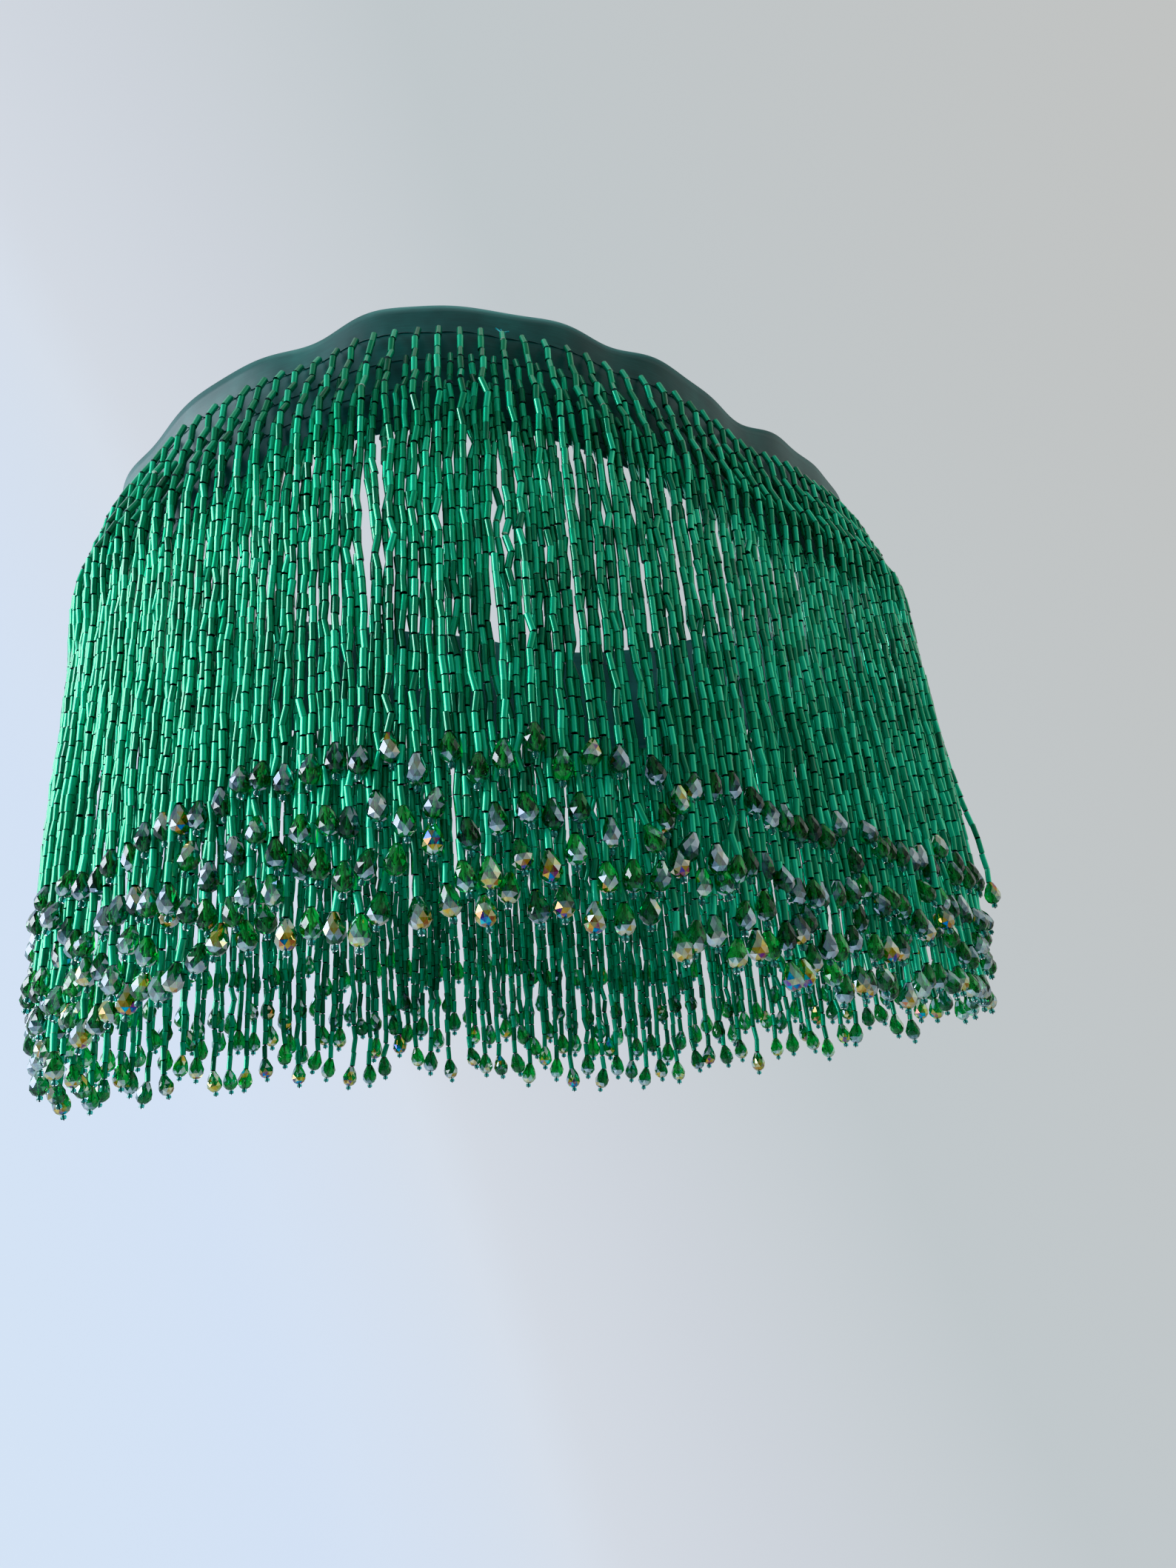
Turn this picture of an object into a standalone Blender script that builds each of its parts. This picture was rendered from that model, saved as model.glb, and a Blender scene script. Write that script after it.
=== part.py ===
"""Beaded fringe trim, hanging as a ring round the hips.

A satin ribbon tape carries four sewn rows of strung glass strands. Each strand ends in a drop crystal.
The origin is at the centre front of the tape's top edge, on its inner face. +X runs from the wearer's
right to left, +Y from front to back and +Z up. Units are metres.
"""

import math

import bmesh
import bpy
import numpy as np
from mathutils import Vector

# Ring: the top edge of the tape, seen from above
RING_WIDTH = 0.298
RING_DEPTH = 0.215
SEAM_GAP = 0.003
SEAM_ANGLE = math.radians(90.0)
TABLE_STEPS = 2880

# Tape
TAPE_HEIGHT = 0.051
TAPE_THICKNESS = 0.0012
TAPE_COLUMNS = 120
TAPE_ROWS = 3

# Fringe: four rows of strands, the first one bead shorter
ROW_COUNT = 4
ROW_PITCH = 0.0115
FIRST_ROW_DROP = 0.0115
STRANDS_PER_ROW = 60
FIRST_STRAND = 0.15
ROW_STAGGER = (0.0, 0.5, 0.2, 0.7)
LAYER_STEP = 0.0029
STEP_OUT_DROP = 0.0078
STRAND_LENGTHS = (0.1559, 0.1615, 0.1615, 0.1615)

# Backing strip that joins the roots of one row
STRIP_OFF_TAPE = 0.0008
STRIP_THICKNESS = 0.0016
STRIP_HEIGHT = 0.0024
MERGE_DISTANCE = 0.00001

# Strand: half the width of its section along the ring
BEAD_HALF_WIDTH = 0.0011
CRYSTAL_HALF_WIDTH = 0.0026
CRYSTAL_LENGTH = 0.0081
CRYSTAL_WIDEST = 0.0047
STOPPER_LENGTH = 0.0020
STOPPER_HALF_WIDTH = 0.0009

# Where the swell of the hips ends and the strands hang plumb, below the top edge
PLUMB_DROP = 0.110
BEND_DROP = 0.085

# Round the hips, three tables of harmonic, cosine part and sine part
# The ring's egg shape
RING_EGG = (
    (3, 0.0027, 0.0055),
)
# The rise and fall of the top edge
EDGE_LIFT = (
    (1, 0.0004, 0.0),
    (2, -0.0032, 0.0024),
    (3, 0.0055, -0.0017),
)
# Small ripples of the ribbon's free edge: waves round the ring, height, stand-off and phase
EDGE_RIPPLE = (
    (9, 0.0009, 0.0006, 1.0),
    (14, 0.0006, 0.0007, 0.4),
    (23, 0.0004, 0.0004, 2.1),
)
# How far the hips push the strands outwards
HIP_FLARE_MEAN = 0.0072
HIP_FLARE = (
    (2, 0.0029, 0.0),
    (3, 0.0055, 0.0023),
)

COLLECTION = "beaded_fringe_trim"
GREEN_RIBBON = (0.012, 0.062, 0.052, 1.0)
GREEN_GLASS = (0.002, 0.230, 0.105, 1.0)


def harmonics(angle, table):
    """Sum of cosine and sine waves of the angle, from rows of harmonic, cosine part, sine part."""
    return sum(c * np.cos(k * angle) + s * np.sin(k * angle) for k, c, s in table)


def ring_radius(angle):
    """Ellipse of the ring's width and depth, made slightly egg-shaped."""
    half_width = RING_WIDTH / 2
    half_depth = RING_DEPTH / 2
    ellipse = half_width * half_depth / np.hypot(half_depth * np.cos(angle), half_width * np.sin(angle))
    return ellipse + harmonics(angle, RING_EGG)


def make_ring_table():
    """Angle, length so far, point and outward normal at even steps, once round from the back seam."""
    angle = np.linspace(SEAM_ANGLE, SEAM_ANGLE + 2 * math.pi, TABLE_STEPS + 1)
    radius = ring_radius(angle)
    point = np.column_stack([radius * np.cos(angle), radius * np.sin(angle)])
    step = np.linalg.norm(np.diff(point, axis=0), axis=1)
    length = np.concatenate([[0.0], np.cumsum(step)])
    tangent = np.gradient(point, angle, axis=0)
    tangent /= np.linalg.norm(tangent, axis=1)[:, None]
    normal = np.column_stack([tangent[:, 1], -tangent[:, 0]])
    return angle, length, point, normal


RING_ANGLE, RING_RUN, RING_POINT, RING_NORMAL = make_ring_table()
RING_LENGTH = RING_RUN[-1]
FRONT_ANGLE = math.radians(270.0)
FRONT_REACH = float(ring_radius(FRONT_ANGLE)) - TAPE_THICKNESS / 2


def place(run, drop, out):
    """Point at a length round the ring, a drop below the top edge and a distance out from the tape's middle."""
    angle = np.interp(run, RING_RUN, RING_ANGLE)
    normal = np.array([np.interp(run, RING_RUN, RING_NORMAL[:, axis]) for axis in (0, 1)])
    point = np.array([np.interp(run, RING_RUN, RING_POINT[:, axis]) for axis in (0, 1)])
    swell = 1 - (1 - min(drop / PLUMB_DROP, 1.0)) ** 2
    out = out + swell * (HIP_FLARE_MEAN + harmonics(angle, HIP_FLARE))
    lift = harmonics(angle, EDGE_LIFT) - harmonics(FRONT_ANGLE, EDGE_LIFT)
    free = max(1 - drop / TAPE_HEIGHT, 0.0) ** 2
    for waves, height, stand_off, phase in EDGE_RIPPLE:
        turn = waves * angle + phase
        front = waves * FRONT_ANGLE + phase
        lift += free * height * (math.sin(turn) - math.sin(front))
        out += free * stand_off * (math.sin(turn) - math.sin(front))
    x, y = point + normal * out
    return x, y + FRONT_REACH, lift - drop


def along(run):
    """Unit vector along the ring at a length round it."""
    normal_x = float(np.interp(run, RING_RUN, RING_NORMAL[:, 0]))
    normal_y = float(np.interp(run, RING_RUN, RING_NORMAL[:, 1]))
    return Vector((-normal_y, normal_x, 0.0)).normalized()


def finish_object(name, bm, material, collection):
    """Turns the bmesh into a named object with outward faces and its material."""
    bmesh.ops.recalc_face_normals(bm, faces=bm.faces)
    mesh = bpy.data.meshes.new(name)
    bm.to_mesh(mesh)
    bm.free()
    mesh.materials.append(material)
    obj = bpy.data.objects.new(name, mesh)
    collection.objects.link(obj)
    return obj


def make_material(name, colour, roughness, coat):
    """A Principled material with the part's colour."""
    material = bpy.data.materials.new(name)
    material.use_nodes = True
    shader = material.node_tree.nodes["Principled BSDF"]
    shader.inputs["Base Color"].default_value = colour
    shader.inputs["Roughness"].default_value = roughness
    shader.inputs["Metallic"].default_value = 0.0
    shader.inputs["Coat Weight"].default_value = coat
    return material


def make_tape(material, collection):
    """The ribbon: a flat grid bent round the ring, open at the back seam, thickened by Solidify."""
    bm = bmesh.new()
    bmesh.ops.create_grid(bm, x_segments=TAPE_COLUMNS, y_segments=TAPE_ROWS, size=0.5)
    for vert in bm.verts:
        run = SEAM_GAP / 2 + (vert.co.x + 0.5) * (RING_LENGTH - SEAM_GAP)
        drop = (0.5 - vert.co.y) * TAPE_HEIGHT
        vert.co = place(run, drop, 0.0)
    obj = finish_object("tape", bm, material, collection)
    solidify = obj.modifiers.new("thickness", "SOLIDIFY")
    solidify.thickness = TAPE_THICKNESS
    solidify.offset = 0.0
    solidify.use_even_offset = True
    return obj


def strand_centres(row):
    """Lengths round the ring at which the strands of a row hang, evenly spaced and staggered by row."""
    pitch = (RING_LENGTH - SEAM_GAP) / STRANDS_PER_ROW
    return [SEAM_GAP / 2 + pitch * (index + FIRST_STRAND + ROW_STAGGER[row]) for index in range(STRANDS_PER_ROW)]


def strand_stations(row, root_drop, root_out):
    """Stations down a strand: drop, distance out from the tape's middle, half width of the section.

    A strand steps out over the strip of the next row before it reaches it, and is in its own layer
    by the time it has passed the last row.
    """
    steps = ROW_COUNT - 1 - row
    last_root = FIRST_ROW_DROP + ROW_PITCH * (ROW_COUNT - 1)
    out = root_out + LAYER_STEP * steps
    tip = root_drop + STRAND_LENGTHS[row]
    neck = tip - STOPPER_LENGTH - CRYSTAL_LENGTH
    stations = [
        (last_root + ROW_PITCH / 2, out, BEAD_HALF_WIDTH),
        (BEND_DROP, out, BEAD_HALF_WIDTH),
        (neck, out, BEAD_HALF_WIDTH),
        (neck + CRYSTAL_WIDEST, out, CRYSTAL_HALF_WIDTH),
        (tip, out, STOPPER_HALF_WIDTH),
    ]
    if steps > 0:
        stations.insert(0, (root_drop + STEP_OUT_DROP, root_out + LAYER_STEP, BEAD_HALF_WIDTH))
    return stations


def make_strip(centres, root_drop, root_out):
    """Closed strip of rectangular section round the tape, and the faces under it that strands hang from.

    A grid is bent to the strip: one way it runs round the ring, with a section on both sides of each strand,
    and the other way it goes round the section, whose last corner meets its first.
    """
    half = STRIP_THICKNESS / 2
    corners = ((root_drop, root_out - half), (root_drop, root_out + half),
               (root_drop - STRIP_HEIGHT, root_out + half), (root_drop - STRIP_HEIGHT, root_out - half))
    sections = [centre + side * BEAD_HALF_WIDTH for centre in centres for side in (-1, 1)]
    bm = bmesh.new()
    bmesh.ops.create_grid(bm, x_segments=len(sections) - 1, y_segments=len(corners), size=0.5)
    section_of = bm.verts.layers.int.new("section")
    corner_of = bm.verts.layers.int.new("corner")
    for vert in bm.verts:
        vert[section_of] = round((vert.co.x + 0.5) * (len(sections) - 1))
        vert[corner_of] = round((vert.co.y + 0.5) * len(corners)) % len(corners)
    roots = []
    for face in bm.faces:
        first_section = min(vert[section_of] for vert in face.verts)
        if first_section % 2 == 0 and {vert[corner_of] for vert in face.verts} == {0, 1}:
            roots.append(face)
    for vert in bm.verts:
        drop, out = corners[vert[corner_of]]
        vert.co = place(sections[vert[section_of]], drop, out)
    bmesh.ops.remove_doubles(bm, verts=bm.verts, dist=MERGE_DISTANCE)
    bmesh.ops.holes_fill(bm, edges=[edge for edge in bm.edges if edge.is_boundary], sides=len(corners))
    return bm, roots


def make_fringe_row(row, material, collection):
    """One sewn row: a thin strip round the tape, and a strand drawn down from every second face under it."""
    root_drop = FIRST_ROW_DROP + ROW_PITCH * row
    root_out = TAPE_THICKNESS / 2 + STRIP_OFF_TAPE + STRIP_THICKNESS / 2
    centres = strand_centres(row)
    bm, faces = make_strip(centres, root_drop, root_out)
    section_of = bm.verts.layers.int["section"]
    corner_of = bm.verts.layers.int["corner"]
    for drop, out, half in strand_stations(row, root_drop, root_out):
        faces = bmesh.ops.extrude_discrete_faces(bm, faces=faces)["faces"]
        for face in faces:
            for vert in face.verts:
                centre = centres[vert[section_of] // 2]
                sideways = half if vert[section_of] % 2 else -half
                outwards = half if vert[corner_of] == 1 else -half
                vert.co = Vector(place(centre, drop, out + outwards)) + along(centre) * sideways
    return finish_object("fringe_row_%d" % (row + 1), bm, material, collection)


def main():
    for obj in list(bpy.data.objects):
        bpy.data.objects.remove(obj, do_unlink=True)
    collection = bpy.data.collections.new(COLLECTION)
    bpy.context.scene.collection.children.link(collection)
    ribbon = make_material("green_satin_ribbon", GREEN_RIBBON, roughness=0.45, coat=0.0)
    glass = make_material("green_lined_glass", GREEN_GLASS, roughness=0.15, coat=1.0)
    make_tape(ribbon, collection)
    for row in range(ROW_COUNT):
        make_fringe_row(row, glass, collection)


main()
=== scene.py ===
# %% [markdown]
# # Beaded fringe trim
#
# The trim is a satin ribbon with four sewn rows of strung glass. Each strand is a doubled thread with 26
# or 27 silver-lined bugle beads on it, then a faceted drop crystal, then a small seed bead that stops the
# thread from slipping back. It hangs as a ring, pinned by the ribbon's top edge.
#
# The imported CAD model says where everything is: the ribbon is one solid, and each row of fringe is one
# solid with 60 plain columns. This script hangs the real number of strands, bead by bead, in the same
# places, so it starts by loading that frame and keeping its box.

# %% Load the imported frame
import math

import bpy
import numpy as np
from mathutils import Matrix


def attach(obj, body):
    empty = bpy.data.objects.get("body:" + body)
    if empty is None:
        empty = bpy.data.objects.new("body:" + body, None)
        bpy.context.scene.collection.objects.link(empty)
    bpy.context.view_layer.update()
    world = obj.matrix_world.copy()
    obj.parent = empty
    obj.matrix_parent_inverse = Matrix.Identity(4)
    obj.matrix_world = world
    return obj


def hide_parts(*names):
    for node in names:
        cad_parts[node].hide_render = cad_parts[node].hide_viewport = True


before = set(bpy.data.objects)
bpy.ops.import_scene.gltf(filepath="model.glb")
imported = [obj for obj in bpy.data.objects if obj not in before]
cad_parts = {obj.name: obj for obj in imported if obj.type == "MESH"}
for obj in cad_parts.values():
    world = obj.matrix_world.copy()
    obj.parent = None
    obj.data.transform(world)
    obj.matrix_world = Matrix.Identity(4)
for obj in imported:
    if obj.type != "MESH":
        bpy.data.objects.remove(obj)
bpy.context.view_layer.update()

# %% [markdown]
# ## Camera
#
# The camera stands below the hem, a little to the left, and looks up into the ring. Its place, heading,
# pitch and roll were solved from the outline of the ribbon and of both hems, so they are given as
# numbers. A lens is usually given in millimetres, but what was solved is the distance in pixels from the
# lens to the picture, and the sensor's height turns one into the other.

# %% Camera
IMAGE_HEIGHT = 2117
FOCAL_PIXELS = 1590.0
SENSOR_HEIGHT = 36.0
CAMERA_PLACE = (-0.1202, -0.2875, -0.2730)
HEADING, PITCH, ROLL = math.radians(20.25), math.radians(20.68), math.radians(-4.78)


def camera_axes(heading, pitch, roll):
    """Right, up and forward: forward is turned by the heading from +Y to +X and raised by the pitch,
    then right and up are turned about it by the roll."""
    level = np.array([math.sin(heading), math.cos(heading), 0.0])
    side = np.array([math.cos(heading), -math.sin(heading), 0.0])
    top = np.array([0.0, 0.0, 1.0])
    forward = level * math.cos(pitch) + top * math.sin(pitch)
    raised = top * math.cos(pitch) - level * math.sin(pitch)
    right = side * math.cos(roll) + raised * math.sin(roll)
    return right, raised * math.cos(roll) - side * math.sin(roll), forward


VIEW_RIGHT, VIEW_UP, VIEW_FORWARD = camera_axes(HEADING, PITCH, ROLL)
lens = bpy.data.cameras.new("camera")
lens.sensor_fit = "VERTICAL"
lens.sensor_height = SENSOR_HEIGHT
lens.lens = SENSOR_HEIGHT * FOCAL_PIXELS / IMAGE_HEIGHT
lens.clip_start, lens.clip_end = 0.01, 50.0
camera = bpy.data.objects.new("camera", lens)
turn = Matrix(np.column_stack([VIEW_RIGHT, VIEW_UP, -VIEW_FORWARD]).tolist()).to_4x4()
camera.matrix_world = Matrix.Translation(CAMERA_PLACE) @ turn
bpy.context.scene.collection.objects.link(camera)
bpy.context.scene.camera = camera
print("lens in mm:", round(lens.lens, 2))

# %% [markdown]
# ## Helpers
#
# Colours are picked as sRGB hex values, and Blender's shaders want linear light, so one function turns
# them. A second one adds any node with its settings, values and links. All materials here end in one
# Principled shader, so a helper joins it to the output. Another one puts whole arrays of points and faces
# into a mesh, which is far quicker than adding them one by one.

# %% Colour, node and mesh helpers
def linear(hex_colour):
    """sRGB hex to linear RGBA: a channel is divided by 12.92 near black, and above that it is moved by
    0.055, scaled back to 1 and raised to the power 2.4."""
    channel = np.array([int(hex_colour[i:i + 2], 16) for i in (1, 3, 5)]) / 255
    channel = np.where(channel <= 0.04045, channel / 12.92, ((channel + 0.055) / 1.055) ** 2.4)
    return (*channel.tolist(), 1.0)


def add_node(tree, kind, settings=(), values=(), links=()):
    """A node of that kind, with its settings, its input values and the sockets linked into its inputs."""
    node = tree.nodes.new(kind)
    for name, value in dict(settings).items():
        setattr(node, name, value)
    for name, value in dict(values).items():
        node.inputs[name].default_value = value
    for name, source in dict(links).items():
        tree.links.new(source, node.inputs[name])
    return node


def new_material(name):
    """An empty node material and its tree."""
    material = bpy.data.materials.new(name)
    material.use_nodes = True
    tree = material.node_tree
    tree.nodes.clear()
    return material, tree


def finish_material(tree, values, links=()):
    """Ends a material: one Principled shader with its values and links, joined to the output."""
    shader = add_node(tree, "ShaderNodeBsdfPrincipled", {}, values, links)
    add_node(tree, "ShaderNodeOutputMaterial", {}, {}, {"Surface": shader.outputs["BSDF"]})


def named_value(tree, name):
    """The number that a face or bead has under that name."""
    return add_node(tree, "ShaderNodeAttribute", {"attribute_name": name}).outputs["Fac"]


def fill_ramp(node, stops):
    """Sets a colour ramp's stops, given as position and sRGB hex."""
    ramp = node.color_ramp
    while len(ramp.elements) < len(stops):
        ramp.elements.new(0.5)
    for element, (position, colour) in zip(ramp.elements, stops):
        element.position = position
        element.color = linear(colour)


def new_piece(name, points, faces, materials, smooth=True, material_of=None, uv=None, tones=None, rims=0):
    """A mesh object from arrays: faces is a list with one array for each number of corners. smooth and
    material_of hold one value a face, uv one pair a corner and tones maps a name to one number a face.
    Where rims is given, the points come in rings of that many, and the edges round a ring are sharp."""
    corners = np.concatenate([part.ravel() for part in faces]).astype(np.int32)
    sizes = np.concatenate([np.full(len(part), part.shape[1]) for part in faces])
    starts = np.concatenate([[0], np.cumsum(sizes)[:-1]]).astype(np.int32)
    mesh = bpy.data.meshes.new(name)
    mesh.vertices.add(len(points))
    mesh.vertices.foreach_set("co", points.astype(np.float32).ravel())
    mesh.loops.add(len(corners))
    mesh.loops.foreach_set("vertex_index", corners)
    mesh.polygons.add(len(sizes))
    mesh.polygons.foreach_set("loop_start", starts)
    mesh.update(calc_edges=True)
    mesh.polygons.foreach_set("use_smooth", np.broadcast_to(smooth, len(sizes)).astype(bool))
    if material_of is not None:
        mesh.polygons.foreach_set("material_index", material_of.astype(np.int32))
    if uv is not None:
        mesh.uv_layers.new(name="surface").data.foreach_set("uv", uv.astype(np.float32).ravel())
    for tone, values in dict(tones or {}).items():
        mesh.attributes.new(tone, "FLOAT", "FACE").data.foreach_set("value", values.astype(np.float32))
    if rims:
        ends = np.empty(2 * len(mesh.edges), np.int32)
        mesh.edges.foreach_get("vertices", ends)
        ring = ends.reshape(-1, 2) // rims
        sharp = mesh.attributes.new("sharp_edge", "BOOLEAN", "EDGE")
        sharp.data.foreach_set("value", ring[:, 0] == ring[:, 1])
    for material in materials:
        mesh.materials.append(material)
    piece = bpy.data.objects.new(name, mesh)
    bpy.context.scene.collection.objects.link(piece)
    return piece


def ease(value, start, end):
    """0 before start, 1 after end, and a smooth S between them."""
    t = np.clip((value - start) / (end - start), 0, 1)
    return t * t * (3 - 2 * t)


def grid_faces(rows, columns, closed=False):
    """Corner numbers of the quads of a grid of points, row by row. A closed grid joins its last column to
    its first."""
    row = np.arange(rows - 1)[:, None]
    column = np.arange(columns if closed else columns - 1)[None, :]
    after = (column + 1) % columns
    corners = ((row, column), (row + 1, column), (row + 1, after), (row, after))
    quads = [line * columns + place for line, place in corners]
    return np.stack(np.broadcast_arrays(*quads), axis=-1).reshape(-1, 4)


# %% [markdown]
# ## The ring
#
# Everything is placed by three lengths: how far round the ring, how far below the ribbon's top edge, and
# how far out from the ribbon's middle. The ring itself is an ellipse with a slight egg shape. The edge
# rises and falls as it goes round the hips, and the hips push the strands outwards over the first
# 110 mm, below which they hang plumb. These are the CAD model's own formulas, here for whole arrays.

# %% The ring's formulas
RING_WIDTH, RING_DEPTH = 0.298, 0.215
RING_EGG = ((3, 0.0027, 0.0055),)
EDGE_LIFT = ((1, 0.0004, 0.0), (2, -0.0032, 0.0024), (3, 0.0055, -0.0017))
EDGE_RIPPLE = ((9, 0.0009, 0.0006, 1.0), (14, 0.0006, 0.0007, 0.4), (23, 0.0004, 0.0004, 2.1))
HIP_FLARE_MEAN = 0.0072
HIP_FLARE = ((2, 0.0029, 0.0), (3, 0.0055, 0.0023))
PLUMB_DROP = 0.110
SEAM_ANGLE, FRONT_ANGLE = math.radians(90.0), math.radians(270.0)
SEAM_GAP = 0.003
TAPE_HEIGHT = 0.051
CAD_TAPE_THICKNESS = 0.0012
RING_SAMPLES = 2881


def harmonics(angle, table):
    """Sum of cosine and sine waves of the angle, from rows of harmonic, cosine part, sine part."""
    return sum(c * np.cos(k * angle) + s * np.sin(k * angle) for k, c, s in table)


def ring_radius(angle):
    """Ellipse: half width times half depth, over the length of (depth x cosine, width x sine)."""
    a, b = RING_WIDTH / 2, RING_DEPTH / 2
    return a * b / np.hypot(b * np.cos(angle), a * np.sin(angle)) + harmonics(angle, RING_EGG)


ring_angle = np.linspace(SEAM_ANGLE, SEAM_ANGLE + 2 * math.pi, RING_SAMPLES)
ring_point = ring_radius(ring_angle) * np.array([np.cos(ring_angle), np.sin(ring_angle)])
ring_run = np.concatenate([[0.0], np.cumsum(np.hypot(*np.diff(ring_point)))])
ring_tangent = np.gradient(ring_point, ring_angle, axis=1)
ring_tangent /= np.hypot(*ring_tangent)
ring_normal = np.array([ring_tangent[1], -ring_tangent[0]])
RING_LENGTH = float(ring_run[-1])
FRONT_REACH = float(ring_radius(FRONT_ANGLE)) - CAD_TAPE_THICKNESS / 2


def hang(run, drop, out):
    """Points at arrays of lengths round the ring, drops below the top edge and distances out. The point
    on the ring moves along its outward normal, by out plus the hips' swell, and down by the drop."""
    run, drop, out = np.broadcast_arrays(np.mod(run, RING_LENGTH), drop, out)
    angle = np.interp(run, ring_run, ring_angle)
    swell = 1 - (1 - np.minimum(drop / PLUMB_DROP, 1.0)) ** 2
    out = out + swell * (HIP_FLARE_MEAN + harmonics(angle, HIP_FLARE))
    lift = harmonics(angle, EDGE_LIFT) - harmonics(FRONT_ANGLE, EDGE_LIFT)
    free = np.maximum(1 - drop / TAPE_HEIGHT, 0.0) ** 2
    for waves, height, stand_off, phase in EDGE_RIPPLE:
        ripple = np.sin(waves * angle + phase) - math.sin(waves * FRONT_ANGLE + phase)
        lift = lift + free * height * ripple
        out = out + free * stand_off * ripple
    x, y = (np.interp(run, ring_run, ring_point[i]) + out * np.interp(run, ring_run, ring_normal[i])
            for i in (0, 1))
    return np.stack([x, y + FRONT_REACH, lift - drop], axis=-1)


print("ribbon's top edge in mm:", round(1000 * RING_LENGTH, 1))

# %% [markdown]
# ## Satin ribbon
#
# The ribbon is 51 mm of polyester satin, closely woven, with a soft sheen along its length. It is a grid
# of points bent round the ring, open at the back where its two ends meet. The four rows of stitches pull
# it in by a fraction of a millimetre and it bulges a little between them, more between two roots than at
# one. A strip in two lengths would lose that pucker, so the grid is fine enough to hold it, and Solidify
# gives it the thickness of cloth.

# %% Ribbon
ROW_COUNT = 4
FIRST_ROW_DROP, ROW_PITCH = 0.0115, 0.0115
STRANDS = 126
STRAND_PITCH = (RING_LENGTH - SEAM_GAP) / STRANDS
ROW_STAGGER = (0.0, 0.5, 0.2, 0.7)
FIRST_STRAND = 0.15
RIBBON_THICKNESS = 0.0005
RIBBON_COLUMNS, RIBBON_ROWS = 1261, 19
PUCKER_DEPTH, PUCKER_REACH, PUCKER_BETWEEN = 0.00022, 0.0018, 0.4
FLUTTER, FLUTTER_LENGTHS = 0.00025, (0.0047, 0.031, 0.083)
ROOT_DROPS = FIRST_ROW_DROP + ROW_PITCH * np.arange(ROW_COUNT)


def ribbon_stand_off(run, drop):
    """Distance out of the cloth: a dip of bell section along each row of stitches, deeper at each root,
    and slow waves of the free edge above the first row."""
    dip = sum(np.exp(-((drop - root) / PUCKER_REACH) ** 2) for root in ROOT_DROPS)
    roots = 0.5 + 0.5 * np.cos(2 * math.pi * (run / STRAND_PITCH - FIRST_STRAND))
    above = np.clip(1 - drop / FIRST_ROW_DROP, 0, 1) ** 2
    short, middle, long = FLUTTER_LENGTHS
    flutter = FLUTTER * np.sin(run / short + 1.3 * np.sin(run / middle)) * np.sin(run / long + 0.6)
    return above * flutter - PUCKER_DEPTH * dip * (PUCKER_BETWEEN + (1 - PUCKER_BETWEEN) * roots)


run, drop = np.meshgrid(np.linspace(SEAM_GAP / 2, RING_LENGTH - SEAM_GAP / 2, RIBBON_COLUMNS),
                        np.linspace(0.0, TAPE_HEIGHT, RIBBON_ROWS))
ribbon_points = hang(run, drop, ribbon_stand_off(run, drop)).reshape(-1, 3)
ribbon_faces = grid_faces(RIBBON_ROWS, RIBBON_COLUMNS)
ribbon_uv = 1000 * np.stack([run.ravel(), drop.ravel()], axis=-1)[ribbon_faces].reshape(-1, 2)
print("ribbon quads:", len(ribbon_faces))

# %% [markdown]
# Satin is woven so that most warp threads lie on top, side by side along the ribbon, which gives a smooth
# face with a sheen across the threads and hardly any visible weave. The threads are 0.15 mm apart on the
# real ribbon and too fine to show, so they are drawn 0.4 mm apart. The pattern reads the ribbon's own UV
# map, which is in millimetres along and across it, so it follows the bend.

# %% Polyester satin
THREAD_SPACING_MM = 0.4
WEAVE_DEPTH = 0.00004


def woven_satin():
    """Dyed polyester satin: dark teal green, dull along the threads and soft-bright across them."""
    material, tree = new_material("woven_polyester_satin")
    place = add_node(tree, "ShaderNodeUVMap", {"uv_map": "surface"})
    along = add_node(tree, "ShaderNodeMapping", {}, {"Scale": (0.12, 1 / THREAD_SPACING_MM, 1.0)},
                     {"Vector": place.outputs["UV"]})
    threads = add_node(tree, "ShaderNodeTexNoise", {}, {"Scale": 1.0, "Detail": 2.0, "Roughness": 0.6},
                       {"Vector": along.outputs["Vector"]})
    slow = add_node(tree, "ShaderNodeTexNoise", {}, {"Scale": 0.06, "Detail": 3.0},
                    {"Vector": place.outputs["UV"]})
    shade = add_node(tree, "ShaderNodeMath", {"operation": "MULTIPLY_ADD"}, {1: 0.45},
                     {0: threads.outputs["Fac"], 2: slow.outputs["Fac"]})
    dye = add_node(tree, "ShaderNodeValToRGB", {}, {}, {"Fac": shade.outputs["Value"]})
    fill_ramp(dye, [(0.45, "#0d2c29"), (0.72, "#143b37"), (1.0, "#1f4f49")])
    weave = add_node(tree, "ShaderNodeBump", {}, {"Strength": 0.5, "Distance": WEAVE_DEPTH},
                     {"Height": threads.outputs["Fac"]})
    finish_material(tree, {"Roughness": 0.48, "IOR": 1.54, "Anisotropic": 0.4, "Sheen Weight": 0.22,
                           "Sheen Roughness": 0.4, "Sheen Tint": linear("#8fd0c6")},
                    {"Base Color": dye.outputs["Color"], "Normal": weave.outputs["Normal"]})
    return material


satin = woven_satin()
ribbon = new_piece("satin_ribbon", ribbon_points, [ribbon_faces], [satin], uv=ribbon_uv)
cloth = ribbon.modifiers.new("cloth", "SOLIDIFY")
cloth.thickness = RIBBON_THICKNESS
cloth.offset = 0.0
print("ribbon material:", satin.name)

# %% [markdown]
# ## How the strands hang
#
# A string of beads doesn't hang dead straight. Neighbours cling together in small bunches with dark gaps
# between them, whole bunches drift sideways on the way down, and each strand wanders a little of its own.
# The strands of the later rows also settle into the gaps between the earlier ones. So all strands are
# taken together: an array has one number for each strand and each level, one bugle apart. The shifts are
# added up in it, and then neighbours that have come too near are pushed apart, level by level.
#
# All chance comes from seeded generators, so each run hangs the strands the same way.

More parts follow.
